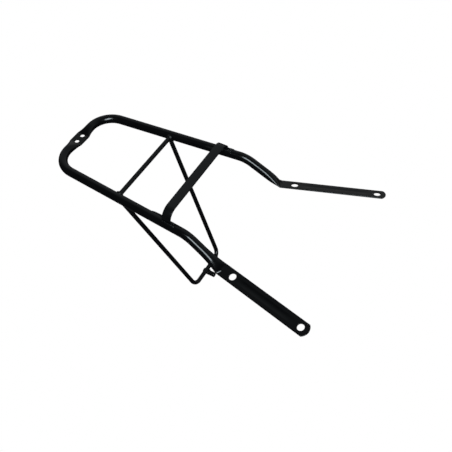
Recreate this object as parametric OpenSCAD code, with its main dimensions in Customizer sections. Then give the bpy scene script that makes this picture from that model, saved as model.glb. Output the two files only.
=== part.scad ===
// Motorcycle luggage rack: a welded carrier of bent steel tube, round rod and flat bar.
// X runs forward from the rear bar to the mounting legs, Y to the left and Z up.
// The rails' centre lines lie in the plane z = 0, and the origin is midway between the two rear holes,
// on the top face of the pressed flat that they go through.

/* [Main tube] */
// Outside diameter of the main tube
tube_od = 16; // [14:0.5:18]
// Wall of the main tube; pressed flat, the tube is two walls thick
tube_wall = 1.2; // [1:0.1:1.6]
// Distance between the lines of the two rails at the rear bar
rear_w = 145; // [135:1:170]
// Angle by which each rail opens outwards, in degrees
rail_taper = 5.4; // [3:0.5:8]
// Radius of the two rear corners, at the centre line
corner_r = 42; // [36:1:44]
// Length of each rail, from the line of the rear bar to the downward bend
rail_l = 289; // [280:1:320]
// Radius of the downward bend, at the centre line
dip_r = 50; // [40:1:60]
// Angle by which the tube dips below the rails, in degrees
dip_angle = 30.3; // [24:0.1:34]
// Length of the dip, from the downward bend to the crease
dip_l = 76; // [74:0.5:90]

/* [Rear flat] */
// Length of the rear flat, across the rack
rear_flat_l = 24; // [22:1:26]
// Width of the rear flat, fore and aft
rear_flat_w = 25.5; // [22:0.5:27]
// Length over which the round tube turns into the rear flat
rear_press_l = 21; // [18:1:21]
// Diameter of the two rear holes
rear_hole_d = 8.5; // [6:0.5:10]
// Distance between the two rear holes
rear_hole_pitch = 16.5; // [16:0.5:18]

/* [Legs] */
// Angle by which each leg opens outwards, in degrees
leg_splay = 15.8; // [10:0.1:20]
// Angle by which each leg rises again towards its tip, in degrees
leg_rise = 4.8; // [0:0.1:8]
// Angle by which each leg leans outwards about its own length, in degrees
leg_lean = 15; // [0:1:25]
// Angle of the crease across the leg, its inner end being further forward, in degrees
crease_skew = 9; // [0:1:12]
// Width of the pressed legs
leg_w = 23.6; // [22:0.1:25]
// Length over which the round tube turns into a leg
leg_press_l = 42; // [36:1:44]
// Distance from the crease to the inner hole
leg_hole_at = 26.2; // [24:0.1:40]
// Distance between the two holes of a leg
leg_hole_pitch = 143.1; // [120:0.1:150]
// Diameter of the inner hole of each leg
inner_hole_d = 12.6; // [9:0.1:13]
// Diameter of the end hole of each leg
end_hole_d = 12; // [9:0.1:13]
// Distance from the middle of the end hole to the rounded tip of the leg
leg_tip = 14.7; // [13:0.1:18]

/* [Cross rod] */
// Diameter of the cross rod
cross_d = 8; // [6:0.5:10]
// Distance from the line of the rear bar to the cross rod
cross_at = 142; // [130:1:160]

/* [Strap] */
// Width of the strap
strap_w = 16; // [14:1:20]
// Thickness of the strap
strap_t = 3; // [2:0.5:4]
// Distance from the line of the rear bar to the middle of the strap
strap_at = 246; // [225:1:250]
// Height of the strap's top face above the rails' centre lines
strap_h = 28; // [26:1:36]
// Inside radius of the strap's two bends
strap_bend_r = 17; // [12:1:18]

/* [Stay] */
// Diameter of the stay rod
stay_d = 8; // [6:0.5:9]
// Distance that the stay's tops stand inwards of the rails' centre lines
stay_inset = 2.9; // [2:0.1:3.5]
// Distance from the cross rod's centre line back to the point where the stay's line meets the rails' plane
stay_back = 4; // [3:0.5:5]
// Distance from the line of the rear bar to the bottom of the stay
stay_reach = 258; // [240:1:280]
// Depth of the stay's bottom below the rails' centre lines
stay_depth = 229.5; // [200:0.5:260]
// Width of the stay's bottom, between the lines of its arms
stay_w = 85.5; // [70:0.5:110]
// Radius of the stay's two bottom corners, at the centre line
stay_bend_r = 15.5; // [12:0.5:20]

/* [Stub] */
// Diameter of the stub under the stay's bottom
stub_d = 9.5; // [6:0.5:10]
// Length of the stub
stub_l = 25; // [20:1:40]
// Length of the stub behind the stay's centre line
stub_back = 7.5; // [6:0.5:9]
// Depth of the seat that the stub has for the stay rod
stub_seat = 1; // [0.5:0.1:1.5]

/* [Welds] */
// Height of a weld fillet on what it joins
weld_leg = 3.2; // [2:0.2:4]
// Length of the strap's weld behind the strap, on the inner side of each rail
strap_weld_tail = 22; // [6:1:24]

/* [Hidden] */

$fn = 64;
paint = [0.06, 0.06, 0.065];
tube_r = tube_od / 2;
flat_t = 2 * tube_wall;
rear_z = -flat_t / 2;
sides = [-1, 1];

// Parts of one bar overlap by seam_l and each bend is thicker by seam, so that they join cleanly;
// a pressed transition starts inside the round tube, thinner than it by press_start_gap
seam = 0.03;
seam_l = 0.3;
press_start_gap = 0.25;

// Rings of each pressed transition, points of each ring, and the share of its length that is hollow
press_rings = 4;
press_points = 32;
hollow_share = 0.9;

function unit(v) = v / norm(v);
function mix(a, b, share) = a + (b - a) * share;

// Direction that points down by one angle and outwards by another, on one side of the rack
function heading(down, out, side) =
    [cos(down) * cos(out), side * cos(down) * sin(out), -sin(down)];

// Corner points of one half of the main tube
function rear_corner(side) = [0, side * rear_w / 2, 0];
function rail_dir(side) = heading(0, rail_taper, side);
function dip_corner(side) = rear_corner(side) + rail_l * rail_dir(side);
function dip_dir(side) = heading(dip_angle, rail_taper, side);
function crease(side) = dip_corner(side) + dip_l * dip_dir(side);
function rail_y(x) = rear_w / 2 + x * tan(rail_taper);

// The leg's own axes: along it, out of its upper face, and across it towards the rack's left
function leg_dir(side) = heading(-leg_rise, leg_splay, side);
function leg_level(side) = unit(cross([0, 0, 1], leg_dir(side)));
function leg_up(side) = cross(leg_dir(side), leg_level(side)) * cos(leg_lean)
    + leg_level(side) * side * sin(leg_lean);
function leg_across(side) = cross(leg_up(side), leg_dir(side));
function on_leg(side, along) = crease(side) + along * leg_dir(side);

// The crease's two directions: along the crease, and through the thickness on the mitre
function crease_line(side) = leg_across(side) - side * tan(crease_skew) * leg_dir(side);
function mitre_dir(side) = unit(dip_dir(side) + leg_dir(side));
function crease_depth(side) = leg_up(side)
    - leg_dir(side) * (leg_up(side) * mitre_dir(side)) / (leg_dir(side) * mitre_dir(side));

// The stay's own points: where its line meets the rails' plane, and its bottom corner
stay_saw = 3;
stay_top_x = cross_at - stay_back;
function stay_top(side) = [stay_top_x, side * (rail_y(stay_top_x) - stay_inset), 0];
function stay_corner(side) = [stay_reach, side * stay_w / 2, -stay_depth];

stub_z = -stay_depth - stay_d / 2 - stub_d / 2 + stub_seat;
end_hole_at = leg_hole_at + leg_hole_pitch;
leg_l = end_hole_at + leg_tip;

// Children's Z runs along dir, and their X lies towards the given direction
module aim(at, dir, towards) {
    z = unit(dir);
    y = unit(cross(z, towards));
    x = cross(y, z);
    multmatrix([
        [x.x, y.x, z.x, at.x],
        [x.y, y.y, z.y, at.y],
        [x.z, y.z, z.z, at.z],
        [0, 0, 0, 1]
    ]) children();
}

// A round bar from a to b, whose seam line faces the given direction
module straight(a, b, r, seam_dir) {
    aim(a, b - a, seam_dir) cylinder(h = norm(b - a), r = r);
}

module elbow(corner, dir_in, dir_out, bend_r, r, seam_dir) {
    turn = acos(dir_in * dir_out);
    outwards = unit(dir_in * (dir_in * dir_out) - dir_out);
    axis = cross(outwards, dir_in);
    start = corner - dir_in * bend_r * tan(turn / 2);
    aim(start - outwards * bend_r, axis, outwards)
        rotate_extrude(angle = turn)
            translate([bend_r, 0])
                rotate(atan2(seam_dir * axis, seam_dir * outwards))
                    circle(r = r);
}

function turn_at(p, i) = acos(unit(p[i] - p[i - 1]) * unit(p[i + 1] - p[i]));
function setback(p, radii, i) =
    i == 0 || i == len(p) - 1 ? 0 : radii[i] * tan(turn_at(p, i) / 2);

// A round bar of radius r along the points p, with an elbow of the given radius at each inner point;
// the seam lines of its parts are in one row, on the side that seam_dir gives
module bent_bar(p, radii, r, seam_dir) {
    last = len(p) - 1;
    for (i = [0 : last - 1]) {
        dir = unit(p[i + 1] - p[i]);
        from = i == 0 ? 0 : setback(p, radii, i) - seam_l;
        to = i == last - 1 ? 0 : setback(p, radii, i + 1) - seam_l;
        straight(p[i] + dir * from, p[i + 1] - dir * to, r, seam_dir);
    }
    for (i = [1 : last - 1])
        elbow(p[i], unit(p[i] - p[i - 1]), unit(p[i + 1] - p[i]), radii[i], r + seam, seam_dir);
}

// One ring of a pressed tube: a slot w wide and t thick with round ends
function ring(centre, across, up, w, t) = [
    for (k = [0 : press_points - 1])
        let (a = 360 * (k + 0.5) / press_points)
            centre + across * (sign(cos(a)) * (w - t) / 2 + t / 2 * cos(a)) + up * t / 2 * sin(a)
];

module loft(rings) {
    n = len(rings[0]);
    last = len(rings) - 1;
    side_faces = [
        for (i = [0 : last - 1], k = [0 : n - 1])
            let (a = i * n + k, b = i * n + (k + 1) % n)
                each [[a, b + n, b], [a, a + n, b + n]]
    ];
    first_cap = [for (k = [0 : n - 1]) k];
    last_cap = [for (k = [0 : n - 1]) last * n + n - 1 - k];
    polyhedron(points = [for (r = rings) each r], faces = concat([first_cap], side_faces, [last_cap]));
}

// Share of the pressing that is done at a share of the transition's length
function pressed(share) = pow(share, 1.5);

// The tube as it turns from round at start into a slot w wide at finish, taken in by inset all round;
// it begins and ends a little way inside the pieces that it joins
module transition(start, finish, across, up, w, next, inset, reach) {
    travel = unit(finish - start);
    level = unit(across[0] - travel * (across[0] * travel));
    first_d = tube_od - 2 * (inset + press_start_gap);
    first = ring(start - travel, level, cross(travel, level), first_d, first_d);
    loft(concat([first], [
        for (i = [1 : press_rings])
            let (
                share = reach * i / press_rings,
                t = mix(tube_od, flat_t, pressed(share)) - 2 * inset - seam,
                ring_w = mix(tube_od, w, pressed(share)) - 2 * inset - seam,
                end_lead = share == 1 ? next * seam_l : [0, 0, 0]
            )
            ring(mix(start, finish, share) + end_lead, mix(level, across[1], share),
                 mix(cross(travel, level), up, share), ring_w, t)
    ]));
}

function round_end(side) = crease(side) - leg_press_l * dip_dir(side);
function rear_round_end(side) = [0, side * (rear_flat_l / 2 + rear_press_l), 0];

module leg_transition(side, inset, reach) {
    transition(round_end(side), crease(side), [crease_line(side), crease_line(side)], crease_depth(side),
               leg_w, leg_dir(side), inset, reach);
}

module rear_transition(side, inset, reach) {
    finish = [0, side * rear_flat_l / 2, rear_z];
    across = [side, 0, 0];
    transition(rear_round_end(side), finish, [across, across], [0, 0, 1],
               rear_flat_w, [0, -side, 0], inset, reach);
}

// Points of the round stretch of one half, from the rear flat's transition to the leg's
function half_path(side) =
    [rear_round_end(side), rear_corner(side), dip_corner(side), round_end(side)];

module round_half(side, r) {
    bent_bar(half_path(side), [0, corner_r, dip_r, 0], r, [0, 0, 1]);
}

// A pressed strip along X from x = 0, with rounded edges
module strip(l, w) {
    translate([0, (flat_t - w) / 2, -flat_t / 2]) cube([l, w - flat_t, flat_t]);
    for (s = sides)
        translate([0, s * (w - flat_t) / 2, 0]) rotate([0, 90, 0]) cylinder(h = l, d = flat_t);
}

// One leg along X, from its crease to its tip, which is rounded about the end hole
module leg_strip() {
    intersection() {
        translate([-leg_w / 2, 0, 0]) strip(leg_l + leg_w, leg_w);
        translate([0, 0, -flat_t]) linear_extrude(2 * flat_t) union() {
            translate([end_hole_at, 0]) circle(r = leg_tip);
            translate([-leg_w, -leg_w / 2]) square([leg_w + end_hole_at, leg_w]);
        }
    }
}

module leg(side) {
    keep = leg_l * 1.5;
    cut_z = unit(cross(crease_line(side), crease_depth(side)));
    intersection() {
        aim(crease(side), leg_up(side), leg_dir(side)) leg_strip();
        aim(crease(side), cut_z * sign(cut_z * leg_dir(side)), [0, 1, 0])
            translate([-keep, -keep, 0]) cube([2 * keep, 2 * keep, keep]);
    }
}

module leg_holes(side) {
    for (hole = [[leg_hole_at, inner_hole_d], [end_hole_at, end_hole_d]])
        aim(on_leg(side, hole[0]), leg_up(side), leg_dir(side))
            cylinder(h = 4 * flat_t, d = hole[1], center = true);
}

module rear_flat() {
    translate([0, -rear_flat_l / 2, rear_z]) rotate([0, 0, 90]) strip(rear_flat_l, rear_flat_w);
}

module rear_holes() {
    for (s = sides)
        translate([0, s * rear_hole_pitch / 2, rear_z]) cylinder(h = 4 * flat_t, d = rear_hole_d, center = true);
}

module main_tube() color(paint) {
    difference() {
        union() {
            rear_flat();
            for (s = sides) {
                round_half(s, tube_r);
                rear_transition(s, 0, 1);
                leg_transition(s, 0, 1);
                leg(s);
            }
        }
        for (s = sides) {
            round_half(s, tube_r - tube_wall);
            rear_transition(s, tube_wall, hollow_share);
            leg_transition(s, tube_wall, hollow_share);
            leg_holes(s);
        }
        rear_holes();
    }
}

// The rails as solid bars, to cut what is welded to them
module rails() {
    for (s = sides)
        straight(rear_corner(s), dip_corner(s), tube_r, [0, s, 0]);
}

module cross_bar() {
    reach = rail_y(cross_at);
    translate([cross_at, 0, 0]) rotate([90, 0, 0]) cylinder(h = 2 * reach, d = cross_d, center = true);
}

module cross_rod() color(paint) {
    difference() {
        cross_bar();
        rails();
    }
}

// A filled arch across the rack, with round shoulders and its foot well below the rails
module arch(half, top, r) {
    foot = tube_od;
    translate([-half, -foot]) square([2 * half, top - r + foot]);
    translate([r - half, -foot]) square([2 * (half - r), top + foot]);
    for (s = sides)
        translate([s * (half - r), top - r]) circle(r = r);
}

// Outline of the hoop, whose upright legs end on the rails' centre lines
module hoop_outline() {
    half = rail_y(strap_at) + strap_t / 2;
    intersection() {
        difference() {
            arch(half, strap_h, strap_bend_r + strap_t);
            arch(half - strap_t, strap_h - strap_t, strap_bend_r);
        }
        translate([-half, 0]) square([2 * half, strap_h]);
    }
}

module hoop_bar() {
    translate([strap_at - strap_w / 2, 0, 0]) rotate([90, 0, 90]) linear_extrude(strap_w) hoop_outline();
}

module hoop_strap() color(paint) {
    difference() {
        hoop_bar();
        rails();
    }
}

module stay_bar() {
    bent_bar([stay_top(-1), stay_corner(-1), stay_corner(1), stay_top(1)],
             [0, stay_bend_r, stay_bend_r, 0], stay_d / 2,
             unit(cross(stay_corner(1) - stay_top(1), [0, 1, 0])));
}

// Space above the level at which the stay's tops are sawn off
module above_saw() {
    translate([0, -rear_w, -stay_saw]) cube([2 * cross_at, 2 * rear_w, tube_od]);
}

module stay_rod() color(paint) {
    difference() {
        stay_bar();
        above_saw();
        rails();
        cross_bar();
    }
}

module stub_bar() {
    translate([stay_reach - stub_back, 0, stub_z]) rotate([0, 90, 0]) cylinder(h = stub_l, d = stub_d);
}

module stay_stub() color(paint) {
    difference() {
        stub_bar();
        stay_bar();
    }
}

// A fillet round a rod of radius r that leaves the rail's centre line along dir
module collar(at, dir, r) {
    inner = tube_r / 2;
    outer = tube_r + weld_leg;
    aim(at + unit(dir) * inner, dir, [0, 0.3, 1])
        cylinder(h = outer - inner, r1 = r + weld_leg * 1.2, r2 = r + weld_leg * 0.15);
}

module joint_welds() color(paint) {
    difference() {
        for (s = sides) {
            collar([cross_at, s * rail_y(cross_at), 0], [0, -s, 0], cross_d / 2);
            collar(stay_top(s), stay_corner(s) - stay_top(s), stay_d / 2);
        }
        rails();
        cross_bar();
        stay_bar();
    }
}

module strap_welds() color(paint) {
    bead_r = weld_leg * 0.75;
    lift = tube_r - 0.1 * bead_r;
    difference() {
        for (s = sides, inner = sides) {
            off = s * -inner * (strap_t / 2 + bead_r * 0.6);
            tail = inner > 0 ? strap_weld_tail : 0;
            front = strap_at + strap_w / 2 - bead_r;
            back = strap_at - strap_w / 2 + bead_r - tail;
            down = sqrt(lift * lift - off * off);
            straight([back, s * rail_y(back) + off, down], [front, s * rail_y(front) + off, down],
                     bead_r, [0, 0, 1]);
        }
        rails();
        hoop_bar();
    }
}

module stub_weld() color(paint) {
    bead_r = weld_leg * 0.8;
    drop = stay_depth + stay_d / 2 - bead_r * 0.4;
    difference() {
        for (s = sides) {
            x = stay_reach + s * (stay_d / 2 + bead_r * 0.2);
            straight([x, -stub_d * 0.3, -drop], [x, stub_d * 0.3, -drop], bead_r, [s, 0, -1]);
        }
        stay_bar();
        stub_bar();
    }
}

main_tube();
cross_rod();
hoop_strap();
stay_rod();
stay_stub();
joint_welds();
strap_welds();
stub_weld();
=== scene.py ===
import math

import bmesh
import bpy
import numpy as np
from mathutils import Matrix, Quaternion, Vector, noise


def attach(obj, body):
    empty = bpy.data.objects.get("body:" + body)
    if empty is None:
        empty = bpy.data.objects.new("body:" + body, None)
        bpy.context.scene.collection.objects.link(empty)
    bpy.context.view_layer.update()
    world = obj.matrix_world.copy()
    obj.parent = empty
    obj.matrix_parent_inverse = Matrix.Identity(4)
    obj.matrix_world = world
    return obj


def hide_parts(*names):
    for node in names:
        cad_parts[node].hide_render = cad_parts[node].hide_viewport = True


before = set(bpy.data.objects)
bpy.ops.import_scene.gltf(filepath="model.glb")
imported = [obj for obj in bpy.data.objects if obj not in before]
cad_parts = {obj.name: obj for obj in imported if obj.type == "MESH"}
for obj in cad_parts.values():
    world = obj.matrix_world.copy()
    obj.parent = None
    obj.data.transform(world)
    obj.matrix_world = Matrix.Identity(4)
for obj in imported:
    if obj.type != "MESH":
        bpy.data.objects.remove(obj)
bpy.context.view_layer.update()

MM = 0.001
SIDES = (1, -1)
UP = np.array([0, 0, 1.0])

# Camera
# Found from the photo: turn round the rack, height above the horizon and roll in degrees, the point
# that it looks at and its distance in mm, the focal length in pixels, and how many pixels that point
# lies off the picture's middle
CAM_TURN, CAM_HEIGHT, CAM_ROLL = 30.0035, 50.3721, -0.8975
CAM_AIM = Vector((200, 0, 0))
CAM_DIST, FOCAL_PX = 1232.51, 717.976
AIM_OFF_PX = (-52.3175, 49.1398)
PICTURE_PX, SENSOR = 452, 36.0
CLIP_NEAR, CLIP_FAR = 0.05, 20


def make_camera():
    a, e, r = (math.radians(v) for v in (CAM_TURN, CAM_HEIGHT, CAM_ROLL))
    back = Vector((math.sin(a) * math.cos(e), -math.cos(a) * math.cos(e), math.sin(e)))
    flat_right = Vector((math.cos(a), math.sin(a), 0))
    flat_up = back.cross(flat_right)
    right = flat_right * math.cos(r) + flat_up * math.sin(r)
    up = -flat_right * math.sin(r) + flat_up * math.cos(r)
    off = right * AIM_OFF_PX[0] + up * AIM_OFF_PX[1]
    at = CAM_AIM + back * CAM_DIST - off * CAM_DIST / FOCAL_PX
    data = bpy.data.cameras.new("camera")
    data.sensor_width = SENSOR
    data.lens = FOCAL_PX / PICTURE_PX * SENSOR
    data.clip_start, data.clip_end = CLIP_NEAR, CLIP_FAR
    cam = bpy.data.objects.new("camera", data)
    cam.matrix_world = Matrix.Translation(at * MM) @ Matrix((right, up, back)).transposed().to_4x4()
    bpy.context.collection.objects.link(cam)
    bpy.context.scene.camera = cam


# Sizes of the rack in mm and degrees, the same as in the part's source
TUBE_R, FLAT_T = 8.0, 2.4
REAR_W, TAPER, CORNER_R, RAIL_L = 145.0, 5.4, 42.0, 289.0
DIP_R, DIP, DIP_L = 50.0, 30.3, 76.0
REAR_FLAT_L, REAR_FLAT_W, REAR_PRESS_L = 24.0, 25.5, 21.0
REAR_HOLE_R, REAR_HOLE_PITCH = 4.25, 16.5
SPLAY, RISE, LEAN, SKEW = 15.8, 4.8, 15.0, 9.0
LEG_W, LEG_PRESS_L, LEG_TIP = 23.6, 42.0, 14.7
CROSS_R, CROSS_AT = 4.0, 142.0
STRAP_W, STRAP_T, STRAP_AT, STRAP_H, STRAP_BEND_R = 16.0, 3.0, 246.0, 28.0, 17.0
STAY_R, STAY_INSET, STAY_X = 4.0, 2.9, 138.0
STAY_REACH, STAY_DEPTH, STAY_W, STAY_BEND_R = 258.0, 229.5, 85.5, 15.5
STUB_R, STUB_L, STUB_BACK, STUB_SEAT = 4.75, 25.0, 7.5, 1.0
# The two holes of a leg: each one's distance from the crease, and its radius
INNER_HOLE, END_HOLE = (26.2, 6.3), (169.3, 6.0)

# How the press shaped the tube
# How late along a press the tube widens and thins, and how oval its section is along it
PRESS_CURVE, REAR_OVAL, REAR_OVAL_CURVE = 1.5, 0.8, 3
LEG_PINCH, LEG_OVAL_CURVE = 3.2, 12
# How far along a leg its sections stay skewed and mitred as at the crease
SKEW_FADE, MITRE_FADE = 24, 6
# The groove along a leg: its depth, its half width as a share of the flat, where it starts after the
# crease and ends before the end hole, and the length over which its ends fade
GROOVE, GROOVE_SHARE, GROOVE_START, GROOVE_STOP, GROOVE_FADE = 0.6, 0.26, 34, 12, 18
# The fold by the crease: where it starts, its slant, length, half width and height, the length over
# which its inner end fades, and where and over what length its outer end fades
FOLD_FROM, FOLD_SLANT, FOLD_L, FOLD_HALF, FOLD_H = 0.3, 0.29, 12.0, 1.6, 0.85
FOLD_FADE, FOLD_EDGE, FOLD_EDGE_FADE = 4, 0.4, 1.2
# How much the edges of the holes, the strap and the stub's ends are eased
HOLE_RIM, STRAP_EDGE, STUB_EDGE = 0.15, 0.45, 0.7


def unit(v):
    v = np.asarray(v, float)
    return v / np.linalg.norm(v)


def mix(a, b, share):
    return np.asarray(a) * (1 - share) + np.asarray(b) * share


def clamp(v):
    return min(1.0, max(0.0, v))


def heading(down, out):
    """A direction that points to the front, down and out to the left by these angles."""
    d, o = math.radians(down), math.radians(out)
    return np.array([math.cos(d) * math.cos(o), math.cos(d) * math.sin(o), -math.sin(d)])


def rail_y(x):
    return REAR_W / 2 + x * math.tan(math.radians(TAPER))


def mirrored(points):
    return np.asarray(points) * [1, -1, 1]


# Directions and corners of the left half of the tube
REAR_CORNER = np.array([0, REAR_W / 2, 0])
RAIL_DIR, DIP_DIR, LEG_DIR = heading(0, TAPER), heading(DIP, TAPER), heading(-RISE, SPLAY)
DIP_CORNER = REAR_CORNER + RAIL_L * RAIL_DIR
CREASE = DIP_CORNER + DIP_L * DIP_DIR
ROUND_END = CREASE - LEG_PRESS_L * DIP_DIR
LEG_LEVEL = unit(np.cross([0, 0, 1], LEG_DIR))
LEG_UP = (np.cross(LEG_DIR, LEG_LEVEL) * math.cos(math.radians(LEAN))
          + LEG_LEVEL * math.sin(math.radians(LEAN)))
LEG_ACROSS = np.cross(LEG_UP, LEG_DIR)
CREASE_LINE = LEG_ACROSS - math.tan(math.radians(SKEW)) * LEG_DIR
MITRE = unit(DIP_DIR + LEG_DIR)
CREASE_DEPTH = LEG_UP - LEG_DIR * (LEG_UP @ MITRE) / (LEG_DIR @ MITRE)
# Half the angle that the round tip of a leg leaves open towards the leg
TIP_ANGLE = math.asin(LEG_W / 2 / LEG_TIP)

# Mesh helpers
RING_POINTS, BAR_POINTS = 80, 40


def slot_ring(centre, across, up, w, t, dish=0.0, oval=0.0):
    """Points round a slot w wide and t thick; oval rounds its faces, dish sinks the middle of them."""
    flat, arc = max(w - t, 0.0), math.pi * t / 2
    total = 2 * (flat + arc)
    out = []
    for k in range(RING_POINTS):
        s = (k + 0.5) / RING_POINTS * total
        if s < flat:
            u, v = flat / 2 - s, t / 2
        elif s < flat + arc:
            a = math.pi / 2 + (s - flat) / arc * math.pi
            u, v = -flat / 2 + t / 2 * math.cos(a), t / 2 * math.sin(a)
        elif s < 2 * flat + arc:
            u, v = -flat / 2 + (s - flat - arc), -t / 2
        else:
            a = -math.pi / 2 + (s - 2 * flat - arc) / arc * math.pi
            u, v = flat / 2 + t / 2 * math.cos(a), t / 2 * math.sin(a)
        if oval > 0 and flat > 0:
            a = math.atan2(v / t, u / w)
            u, v = mix((u, v), (w / 2 * math.cos(a), t / 2 * math.sin(a)), oval)
        if dish and flat > 0:
            v *= 1 - dish / (t / 2) * max(0.0, 1 - (u / (flat * GROOVE_SHARE)) ** 2) ** 1.5
        out.append(centre + np.asarray(across) * u + np.asarray(up) * v)
    return np.array(out)


def skin(name, rings):
    """A closed mesh over rings of equal point count, with a cap at each end."""
    n, count = len(rings[0]), len(rings)
    verts = np.concatenate(rings) * MM
    faces = []
    for i in range(count - 1):
        a, b = i * n, (i + 1) * n
        faces += [(a + k, b + k, b + (k + 1) % n, a + (k + 1) % n) for k in range(n)]
    faces += [tuple(range(n)), tuple(reversed(range((count - 1) * n, count * n)))]
    mesh = bpy.data.meshes.new(name)
    mesh.from_pydata([tuple(v) for v in verts], [], faces)
    obj = bpy.data.objects.new(name, mesh)
    bpy.context.collection.objects.link(obj)
    turn_out(obj)
    return obj


def turn_out(obj):
    bm = bmesh.new()
    bm.from_mesh(obj.data)
    bmesh.ops.recalc_face_normals(bm, faces=bm.faces)
    bm.to_mesh(obj.data)
    bm.free()


def smooth(obj, degrees=35):
    obj.data.shade_smooth()
    obj.data.set_sharp_from_angle(angle=math.radians(degrees))


def apply_modifiers(obj):
    dg = bpy.context.evaluated_depsgraph_get()
    mesh = bpy.data.meshes.new_from_object(obj.evaluated_get(dg))
    obj.modifiers.clear()
    obj.data = mesh


def travel(points):
    """The direction of travel at each point of a line."""
    last = len(points) - 1
    return [unit(points[min(i + 1, last)] - points[max(i - 1, 0)]) for i in range(last + 1)]


def frames_along(points, first_up):
    """A direction of travel and two cross directions at each point, carried along without twist."""
    up = np.asarray(first_up, float)
    out = []
    for d in travel(points):
        up = unit(up - d * (up @ d))
        out.append((d, np.cross(up, d), up))
    return out


def bend(corner, dir_in, dir_out, r, steps):
    """Points round a bend, from where it starts to where it ends."""
    turn = math.acos(float(dir_in @ dir_out))
    inwards = unit(dir_out - dir_in * (dir_in @ dir_out))
    centre = corner - dir_in * r * math.tan(turn / 2) + inwards * r
    return [centre - inwards * r * math.cos(turn * k / steps) + dir_in * r * math.sin(turn * k / steps)
            for k in range(steps + 1)]


def round_bar(name, points, r, first_up, edge=0.0):
    """A round bar through points; edge rounds off the rims of its two ends."""
    points = [np.asarray(p, float) for p in points]
    frames = frames_along(points, first_up)
    around = [2 * math.pi * k / BAR_POINTS for k in range(BAR_POINTS)]

    def ring(p, cross, rad):
        return np.array([p + cross[1] * rad * math.cos(a) + cross[2] * rad * math.sin(a) for a in around])

    head, tail = [], []
    if edge:
        start, first, end, last = points[0], frames[0], points[-1], frames[-1]
        step = edge * 0.3
        head = [ring(start, first, r - edge), ring(start + first[0] * step, first, r - step)]
        tail = [ring(end - last[0] * step, last, r - step), ring(end, last, r - edge)]
        points[0], points[-1] = start + first[0] * edge, end - last[0] * edge
    return skin(name, head + [ring(p, f, r) for p, f in zip(points, frames)] + tail)


# Main tube
def rear_rings():
    """The left half of the rear flat, and the stretch over which it becomes round."""
    back = np.array([-1.0, 0, 0])
    flat_z = -FLAT_T / 2
    rings = [slot_ring([0, y, flat_z], back, UP, REAR_FLAT_W, FLAT_T)
             for y in np.linspace(0, REAR_FLAT_L / 2, 9)[:-1]]
    for k in range(36, 0, -1):
        share = k / 36
        pressed = share ** PRESS_CURVE
        at = [0, REAR_FLAT_L / 2 + REAR_PRESS_L * (1 - share), flat_z * share]
        rings.append(slot_ring(at, back, UP, mix(2 * TUBE_R, REAR_FLAT_W, pressed),
                               mix(2 * TUBE_R, FLAT_T, pressed),
                               oval=REAR_OVAL * (1 - share ** REAR_OVAL_CURVE)))
    return rings


def round_rings():
    """The round stretch: the corner, the rail, the downward bend and the start of the slope after it."""
    out = np.array([0, 1.0, 0])
    corner = bend(REAR_CORNER, out, RAIL_DIR, CORNER_R, 40)
    dip = bend(DIP_CORNER, RAIL_DIR, DIP_DIR, DIP_R, 26)
    line = ([np.array([0, REAR_FLAT_L / 2 + REAR_PRESS_L, 0])] + corner
            + [mix(corner[-1], dip[0], k / 14) for k in range(1, 14)] + dip
            + [mix(dip[-1], ROUND_END, k / 4) for k in range(1, 4)])
    rings = []
    for p, d in zip(line, [out] + travel(line)[1:]):
        across = unit(np.cross(UP, d))
        rings.append(slot_ring(p, across, np.cross(d, across), 2 * TUBE_R, 2 * TUBE_R))
    return rings


def leg_press_rings():
    """The stretch over which the round tube is pressed flat, down to the crease."""
    level = unit(np.cross(UP, DIP_DIR))
    rise = np.cross(DIP_DIR, level)
    rings = []
    for share in list(np.linspace(0, 0.94, 44)) + [0.96, 0.975, 0.987, 0.995, 1.0]:
        ring = slot_ring(mix(ROUND_END, CREASE, share), mix(level, CREASE_LINE, share),
                         mix(rise, CREASE_DEPTH, share), mix(2 * TUBE_R, LEG_W, share ** PRESS_CURVE),
                         mix(2 * TUBE_R, FLAT_T, share ** LEG_PINCH), oval=1 - share ** LEG_OVAL_CURVE)
        rings.append(ring + fold_lift(ring, (share - 1) * LEG_PRESS_L))
    return rings


def leg_rings():
    """The flat leg from the crease to where its tip starts to round."""
    end = END_HOLE[0]
    rings = []
    for along in [*np.linspace(0.3, 6.3, 21), *np.linspace(7, end + LEG_TIP * math.cos(TIP_ANGLE), 40)]:
        across = LEG_ACROSS + (CREASE_LINE - LEG_ACROSS) * max(0.0, 1 - along / SKEW_FADE)
        depth = LEG_UP + (CREASE_DEPTH - LEG_UP) * max(0.0, 1 - along / MITRE_FADE)
        ease = (clamp((along - GROOVE_START) / GROOVE_FADE)
                * clamp((end - GROOVE_STOP - along) / GROOVE_FADE))
        ring = slot_ring(CREASE + along * LEG_DIR, across, depth, LEG_W, FLAT_T, GROOVE * ease)
        rings.append(ring + fold_lift(ring, along))
    return rings


def tip_rings():
    """The round tip of a leg, which runs round the end hole."""
    return [slot_ring(CREASE + (END_HOLE[0] + LEG_TIP * math.cos(a)) * LEG_DIR, LEG_ACROSS, LEG_UP,
                      2 * LEG_TIP * math.sin(a), FLAT_T)
            for a in np.linspace(TIP_ANGLE, 0.085, 22)[1:]]


def fold_lift(ring, along):
    """Raises the small fold that the press left on the leg's top face, slanting in from its edge."""
    out = np.zeros_like(ring)
    for i, p in enumerate(ring):
        at = p - CREASE - along * LEG_DIR
        if at @ LEG_UP <= 0:
            continue
        inward = LEG_W / 2 - at @ LEG_ACROSS
        away = (along - FOLD_FROM - FOLD_SLANT * inward) / FOLD_HALF
        fade = clamp((FOLD_L - inward) / FOLD_FADE) * clamp((inward + FOLD_EDGE) / FOLD_EDGE_FADE)
        out[i] = LEG_UP * FOLD_H * fade * max(0.0, 1 - away ** 2)
    return out


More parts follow.
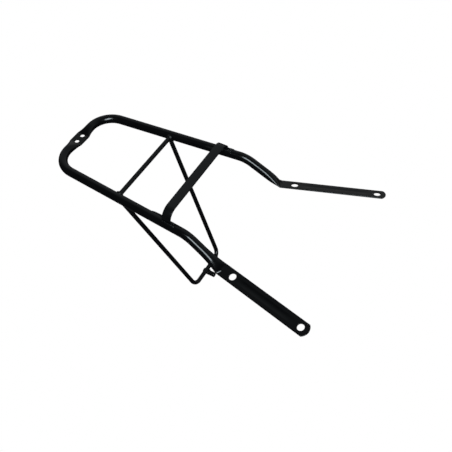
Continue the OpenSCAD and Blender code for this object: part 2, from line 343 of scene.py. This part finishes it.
def hole_axes():
    """Middle, direction and radius of each hole."""
    out = []
    for side in SIDES:
        out.append((np.array([0, side * REAR_HOLE_PITCH / 2, -FLAT_T / 2]), UP, REAR_HOLE_R))
        for along, r in (INNER_HOLE, END_HOLE):
            out.append(((CREASE + along * LEG_DIR) * [1, side, 1], LEG_UP * [1, side, 1], r))
    return out


def drill(obj, holes, length=12, sides=64):
    """Cuts a round hole through obj along each axis."""
    around = [2 * math.pi * (k + 0.37) / sides for k in range(sides)]
    cuts = []
    for at, axis, r in holes:
        x = unit(np.cross(axis, [0.3, 1, 0.1]))
        y = np.cross(axis, x)
        ends = (at - axis * length / 2, at + axis * length / 2)
        cuts.append(skin("cut", [np.array([e + x * r * math.cos(a) + y * r * math.sin(a) for a in around])
                                 for e in ends]))
    for c in cuts:
        mod = obj.modifiers.new("cut", "BOOLEAN")
        mod.object, mod.operation, mod.solver = c, "DIFFERENCE", "EXACT"
    apply_modifiers(obj)
    for c in cuts:
        bpy.data.objects.remove(c)


def on_rim(edge, hole):
    """Whether both ends of a mesh edge lie on the wall of a hole, near the plate that it goes through."""
    at, axis, r = hole
    offs = [np.array(v.co) / MM - at for v in edge.verts]
    return all(abs(np.linalg.norm(o - axis * (o @ axis)) - r) < 0.02 and abs(o @ axis) < 3 for o in offs)


def ease_rims(obj, holes):
    """Rounds off the edges of the drilled holes."""
    bm = bmesh.new()
    bm.from_mesh(obj.data)
    sharp = [e for e in bm.edges
             if len(e.link_faces) == 2 and e.link_faces[0].normal.dot(e.link_faces[1].normal) <= 0.6]
    rims = [e for e in sharp if any(on_rim(e, hole) for hole in holes)]
    bmesh.ops.bevel(bm, geom=rims, offset=HOLE_RIM * MM, offset_type="OFFSET", segments=3, profile=0.5,
                    affect="EDGES", clamp_overlap=True)
    bm.to_mesh(obj.data)
    bm.free()


def make_main_tube():
    half = rear_rings() + round_rings() + leg_press_rings() + leg_rings() + tip_rings()
    tube = skin("tube", [mirrored(r) for r in reversed(half)] + half[1:])
    holes = hole_axes()
    drill(tube, holes)
    ease_rims(tube, holes)
    smooth(tube, 40)
    return tube


# Rods and strap
# How far the cross rod's ends go into the rails' walls, how far down its arm the stay's bar starts,
# and how far the strap's feet go into the rails
ROD_SINK, ARM_START, STRAP_SINK = 1.0, 7.2, 0.3
STAY_TOP = np.array([STAY_X, rail_y(STAY_X) - STAY_INSET, 0])
STAY_CORNER = np.array([STAY_REACH, STAY_W / 2, -STAY_DEPTH])
STAY_DIR = unit(STAY_CORNER - STAY_TOP)


def make_cross_rod():
    reach = rail_y(CROSS_AT) - TUBE_R + ROD_SINK
    points = [(CROSS_AT, y, 0) for y in np.linspace(-reach, reach, 12)]
    bar = round_bar("rod_across", points, CROSS_R, (0, 0, 1))
    smooth(bar)
    return bar


def make_stay():
    across = np.array([0, -1.0, 0])
    left = bend(STAY_CORNER, STAY_DIR, across, STAY_BEND_R, 20)
    start = STAY_TOP + STAY_DIR * ARM_START
    half = [mix(start, left[0], k / 12) for k in range(12)] + left
    points = half + [mirrored(p) for p in reversed(half)]
    bar = round_bar("stay_bar", points, STAY_R, (1, 0, 0))
    smooth(bar)
    return bar


def make_stub():
    z = -STAY_DEPTH - STAY_R - STUB_R + STUB_SEAT
    x0 = STAY_REACH - STUB_BACK
    points = [(x0 + d, 0, z) for d in (0, 4, 12, 20, STUB_L)]
    bar = round_bar("stub_pin", points, STUB_R, (0, 0, 1), STUB_EDGE)
    smooth(bar, 50)
    return bar


def rounded_rect(w, t, edge, steps=4):
    """Outline of a flat bar's section with eased edges."""
    points = []
    for sx, sy, a0 in ((1, 1, 0), (-1, 1, 90), (-1, -1, 180), (1, -1, 270)):
        for k in range(steps + 1):
            a = math.radians(a0 + 90 * k / steps)
            points.append((sx * (w / 2 - edge) + edge * math.cos(a),
                           sy * (t / 2 - edge) + edge * math.sin(a)))
    return points


def make_strap():
    """A flat bar bent over the rails, whose feet end on the tubes' tops."""
    half, top = rail_y(STRAP_AT), STRAP_H - STRAP_T / 2
    down, out, front = np.array([0, 0, -1.0]), np.array([0, 1.0, 0]), np.array([1.0, 0, 0])
    turn = bend(np.array([STRAP_AT, half, top]), out, down, STRAP_BEND_R + STRAP_T / 2, 22)
    flat = [mix([STRAP_AT, 0, top], turn[0], k / 8) for k in range(8)]
    foot = [mix(turn[-1], [STRAP_AT, half, TUBE_R - STRAP_SINK], k / 2) for k in (1, 2)]
    line = flat + turn + foot
    points = [mirrored(p) for p in reversed(line)] + line[1:]
    section = rounded_rect(STRAP_W, STRAP_T, STRAP_EDGE)
    rings = []
    for p, d in zip(points, travel(points)):
        lift = np.cross(d, front)
        rings.append(np.array([p + front * u + lift * v for u, v in section]))
    bar = skin("flat_bar", rings)
    smooth(bar, 40)
    return bar


# Welds
WELD_VOXEL, WELD_EASE, WELD_EASE_ROUNDS = 0.32, 0.5, 8
BALL_STEP, BALL_WOBBLE, BALL_SWELL = 1.25, 0.21, 0.08


def blob_mesh(name, balls):
    """One lumpy skin round a row of overlapping balls, as a hand-made weld has."""
    bm = bmesh.new()
    for centre, r in balls:
        at = Matrix.Translation(Vector(centre) * MM)
        bmesh.ops.create_icosphere(bm, subdivisions=2, radius=r * MM, matrix=at)
    mesh = bpy.data.meshes.new(name)
    bm.to_mesh(mesh)
    bm.free()
    obj = bpy.data.objects.new(name, mesh)
    bpy.context.collection.objects.link(obj)
    mod = obj.modifiers.new("skin", "REMESH")
    mod.mode, mod.voxel_size, mod.adaptivity = "VOXEL", WELD_VOXEL * MM, 0
    ease = obj.modifiers.new("ease", "SMOOTH")
    ease.factor, ease.iterations = WELD_EASE, WELD_EASE_ROUNDS
    apply_modifiers(obj)
    obj.data.shade_smooth()
    return obj


def jitter(i, seed):
    return noise.noise(Vector((i * 0.83 + seed * 7.1, seed * 3.7, 0.5)))


def bead_balls(points, r, seed):
    """Balls at even steps along a line of points, each a little different in place and size."""
    points = [np.asarray(p, float) for p in points]
    steps = [np.linalg.norm(b - a) for a, b in zip(points, points[1:])]
    total = sum(steps)
    count = max(2, int(total / BALL_STEP))
    out = []
    for i in range(count + 1):
        want, k = total * i / count, 0
        while k < len(steps) - 1 and want > steps[k]:
            want -= steps[k]
            k += 1
        p = points[k] + (points[k + 1] - points[k]) * min(1.0, want / max(steps[k], 1e-9))
        wobble = np.array([jitter(i, seed + j) for j in (1, 2, 3)]) * BALL_WOBBLE
        out.append((p + wobble, r * (1 + BALL_SWELL * jitter(i, seed))))
    return out


def rail_inner(x, z, side):
    """Where the inner side of a rail lies at this place and height."""
    half_chord = math.sqrt(max(TUBE_R ** 2 - z * z, 0.01))
    return side * (rail_y(x) - half_chord / math.cos(math.radians(TAPER)))


def turns(count=24):
    """Angles of a closed ring, with the first one again at the end."""
    return [2 * math.pi * k / count for k in range(count + 1)]


def rod_bead(side, wide, lift, r):
    """The bead round an end of the cross rod, widest on the rod's rear side."""
    ring = []
    for a in turns():
        out = CROSS_R + wide * (0.6 - 0.4 * math.cos(a))
        x, z = CROSS_AT + out * math.cos(a), out * math.sin(a)
        ring.append((x, rail_inner(x, z, side) - side * lift, z))
    return bead_balls(ring, r, 3 + side)


def stay_bead(side):
    """The bead round a top of the stay, where its arm comes out of the rail."""
    arm, arm_dir = STAY_TOP * [1, side, 1], STAY_DIR * [1, side, 1]
    e1 = unit(np.cross(arm_dir, [0, side, 0]))
    e2 = np.cross(arm_dir, e1)
    loop = []
    for a in turns():
        p = arm + (e1 * math.cos(a) + e2 * math.sin(a)) * (STAY_R + 0.4)
        while inside_rail(p):
            p = p + arm_dir * 0.25
        loop.append(p)
    return bead_balls(loop, 2.2, 11 + side)


def inside_rail(p):
    return math.hypot((abs(p[1]) - rail_y(p[0])) * math.cos(math.radians(TAPER)), p[2]) <= TUBE_R


def joint_balls(side):
    """The beads where a rail, the cross rod and the stay's top meet: at the rail, up the rod, at the stay."""
    return rod_bead(side, 0.9, 0.0, 2.3) + rod_bead(side, 0.1, 2.2, 1.4) + stay_bead(side)


def strap_balls(side):
    """The beads at one foot of the strap: along both faces, with a long tail behind it on the inner side."""
    def on_rail(x, turn):
        a, r = math.radians(turn), TUBE_R - 0.2
        return (x, side * (rail_y(x) - r * math.sin(a)), r * math.cos(a))

    back, front = STRAP_AT - STRAP_W / 2, STRAP_AT + STRAP_W / 2
    beside = [on_rail(x, 20) for x in np.linspace(back, front + 5, 10)]
    tail = [on_rail(mix(back + 2, back - 25, k), mix(24, 52, min(1.0, k * 3)))
            for k in np.linspace(0, 1, 14)]
    outer = [on_rail(x, -20) for x in np.linspace(back + 1, front + 8, 10)]
    humps = bead_balls(tail, 2.7, 24 + side)
    last = len(humps) - 1
    humps = [(p, r * (1 - 0.55 * (i / last) ** 3)) for i, (p, r) in enumerate(humps)]
    front_hump = (on_rail(front + 3, -16), 2.6)
    return bead_balls(beside, 2.1, 21 + side) + humps + bead_balls(outer, 2.0, 27 + side) + [front_hump]


def stub_balls():
    """The beads between the stub and the stay's bottom bar, one on each side of the bar."""
    balls = []
    for side in SIDES:
        x = STAY_REACH + side * (STAY_R + 0.2)
        balls += bead_balls([(x, y, -STAY_DEPTH - STAY_R) for y in np.linspace(-3, 3, 5)], 2.0, 31 + side)
    return balls


# Materials
SPECK_COLOUR, SPECULAR_TINT = (0.012, 0.012, 0.013, 1), (0.84, 0.95, 1.0, 1)


def set_range(n, ends):
    """Sets what a map range node reads from and gives out."""
    for socket, value in zip(("From Min", "From Max", "To Min", "To Max"), ends):
        n.inputs[socket].default_value = value


def paint(name, dark, light, rough, gloss, bump):
    """Black paint over metal: faint colour drift, uneven sheen, orange peel and specks of dust."""
    mat = bpy.data.materials.new(name)
    mat.use_nodes = True
    tree = mat.node_tree
    new, link = tree.nodes.new, tree.links.new
    bsdf = next(n for n in tree.nodes if n.type == "BSDF_PRINCIPLED")
    coords = new("ShaderNodeTexCoord")

    def noise_at(scale, detail, roughness):
        n = new("ShaderNodeTexNoise")
        n.inputs["Scale"].default_value = scale
        n.inputs["Detail"].default_value = detail
        n.inputs["Roughness"].default_value = roughness
        link(coords.outputs["Object"], n.inputs["Vector"])
        return n.outputs["Fac"]

    def ramp(source, low, high):
        n = new("ShaderNodeValToRGB")
        n.color_ramp.elements[0].position, n.color_ramp.elements[1].position = low, high
        link(source, n.inputs["Fac"])
        return n

    def dents(source, strength, distance):
        n = new("ShaderNodeBump")
        n.inputs["Strength"].default_value = strength
        n.inputs["Distance"].default_value = distance
        link(source, n.inputs["Height"])
        return n

    drift = ramp(noise_at(38.0, 4.0, 0.55), 0.3, 0.72)
    drift.color_ramp.elements[0].color = (*dark, 1)
    drift.color_ramp.elements[1].color = (*light, 1)
    specks = ramp(noise_at(1400.0, 1.0, 0.4), 0.74, 0.8)
    blend = new("ShaderNodeMix")
    blend.data_type = "RGBA"
    blend.inputs["B"].default_value = SPECK_COLOUR
    link(specks.outputs["Color"], blend.inputs["Factor"])
    link(drift.outputs["Color"], blend.inputs["A"])
    link(blend.outputs["Result"], bsdf.inputs["Base Color"])

    span = new("ShaderNodeMapRange")
    set_range(span, (0.3, 0.7, rough - 0.05, rough + 0.07))
    link(noise_at(65.0, 5.0, 0.6), span.inputs["Value"])
    link(span.outputs["Result"], bsdf.inputs["Roughness"])

    peel = dents(noise_at(700.0, 2.0, 0.5), bump, 0.0003)
    waves = dents(noise_at(120.0, 2.0, 0.5), bump * 1.5, 0.001)
    link(peel.outputs["Normal"], waves.inputs["Normal"])
    link(waves.outputs["Normal"], bsdf.inputs["Normal"])
    bsdf.inputs["Specular IOR Level"].default_value = gloss
    bsdf.inputs["IOR"].default_value = 1.45
    bsdf.inputs["Specular Tint"].default_value = SPECULAR_TINT
    return mat


# Stage and light
# The ground is white to the camera and dark in reflections; it lies just under the stub
GROUND_WHITE, FLOOR_TONE, FLOOR_GAP, FLOOR_SIZE = 1.0, (0.06, 0.06, 0.065, 1), 1.0, 12
FLOOR_Z = -STAY_DEPTH - STAY_R - 2 * STUB_R + STUB_SEAT - FLOOR_GAP
# How the room brightens from the camera's side to the far side: from Y, to Y, dark, bright
ROOM_LIGHT = (-0.15, 0.48, 0.06, 0.3)
# The long soft panel that makes the streaks: direction, distance, length and width in metres, power,
# and the angle of its long side
KEY_FROM, KEY_DISTANCE, KEY_SIZE, KEY_POWER, KEY_ROLL = (0.37, -0.62, 0.69), 2.6, (1.8, 0.9), 76, 132
LIGHT_AIM = (0.25, 0, 0)


def floor_material():
    """A white ground: seen directly it is even and shadowless, but it throws only a little light back."""
    mat = bpy.data.materials.new("floor")
    mat.use_nodes = True
    tree = mat.node_tree
    new, link = tree.nodes.new, tree.links.new
    bsdf = next(n for n in tree.nodes if n.type == "BSDF_PRINCIPLED")
    bsdf.inputs["Base Color"].default_value = FLOOR_TONE
    bsdf.inputs["Roughness"].default_value = 0.9
    bsdf.inputs["Specular IOR Level"].default_value = 0.0
    out = next(n for n in tree.nodes if n.type == "OUTPUT_MATERIAL")
    glow, choose = new("ShaderNodeEmission"), new("ShaderNodeMixShader")
    glow.inputs["Strength"].default_value = GROUND_WHITE
    link(new("ShaderNodeLightPath").outputs["Is Camera Ray"], choose.inputs["Fac"])
    link(bsdf.outputs["BSDF"], choose.inputs[1])
    link(glow.outputs["Emission"], choose.inputs[2])
    link(choose.outputs["Shader"], out.inputs["Surface"])
    return mat


def make_floor():
    bm = bmesh.new()
    bmesh.ops.create_grid(bm, x_segments=1, y_segments=1, size=FLOOR_SIZE)
    mesh = bpy.data.meshes.new("floor")
    bm.to_mesh(mesh)
    bm.free()
    obj = bpy.data.objects.new("floor", mesh)
    obj.location.z = FLOOR_Z * MM
    mesh.materials.append(floor_material())
    bpy.context.collection.objects.link(obj)


def make_key_light():
    data = bpy.data.lights.new("key", "AREA")
    data.shape = "RECTANGLE"
    data.size, data.size_y = KEY_SIZE
    data.energy = KEY_POWER
    obj = bpy.data.objects.new("key", data)
    d = Vector(KEY_FROM).normalized()
    obj.location = Vector(LIGHT_AIM) + d * KEY_DISTANCE
    obj.rotation_mode = "QUATERNION"
    roll = Quaternion((0, 0, 1), math.radians(KEY_ROLL))
    obj.rotation_quaternion = d.to_track_quat("Z", "Y") @ roll
    bpy.context.collection.objects.link(obj)


def make_room():
    """A white background for the camera, and a dim room that brightens to one side for reflections."""
    world = bpy.data.worlds.new("world")
    world.use_nodes = True
    bpy.context.scene.world = world
    tree = world.node_tree
    new, link = tree.nodes.new, tree.links.new
    ground = tree.nodes["Background"]
    ground.inputs["Color"].default_value = (1, 1, 1, 1)
    split, across, seen = new("ShaderNodeSeparateXYZ"), new("ShaderNodeMapRange"), new("ShaderNodeMapRange")
    link(new("ShaderNodeTexCoord").outputs["Generated"], split.inputs["Vector"])
    link(split.outputs["Y"], across.inputs["Value"])
    set_range(across, ROOM_LIGHT)
    link(new("ShaderNodeLightPath").outputs["Is Camera Ray"], seen.inputs["Value"])
    link(across.outputs["Result"], seen.inputs["To Min"])
    seen.inputs["To Max"].default_value = GROUND_WHITE
    link(seen.outputs["Result"], ground.inputs["Strength"])


def finish_piece(obj, mat, cad_node):
    """Paints a piece and puts it in the place of the plain node."""
    obj.data.materials.clear()
    obj.data.materials.append(mat)
    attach(obj, "root")
    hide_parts(cad_node)


# The rack, the stage and the picture
make_camera()
gloss_paint = paint("black_gloss", (0.0008, 0.0008, 0.0011), (0.0016, 0.0017, 0.0021), 0.17, 0.45, 0.012)
satin_paint = paint("black_satin", (0.0014, 0.0016, 0.0020), (0.0026, 0.0029, 0.0034), 0.27, 0.5, 0.02)
weld_paint = paint("black_weld", (0.0008, 0.0008, 0.0011), (0.0018, 0.0019, 0.0022), 0.36, 0.4, 0.012)
finish_piece(make_main_tube(), gloss_paint, "main_tube")
finish_piece(make_cross_rod(), gloss_paint, "cross_rod")
finish_piece(make_stay(), gloss_paint, "stay_rod")
finish_piece(make_stub(), gloss_paint, "stay_stub")
finish_piece(make_strap(), satin_paint, "hoop_strap")
finish_piece(blob_mesh("beads_at_joints", joint_balls(1) + joint_balls(-1)), weld_paint, "joint_welds")
finish_piece(blob_mesh("beads_at_strap", strap_balls(1) + strap_balls(-1)), weld_paint, "strap_welds")
finish_piece(blob_mesh("beads_at_stub", stub_balls()), weld_paint, "stub_weld")
make_floor()
make_key_light()
make_room()
bpy.context.scene.view_settings.view_transform = "Standard"
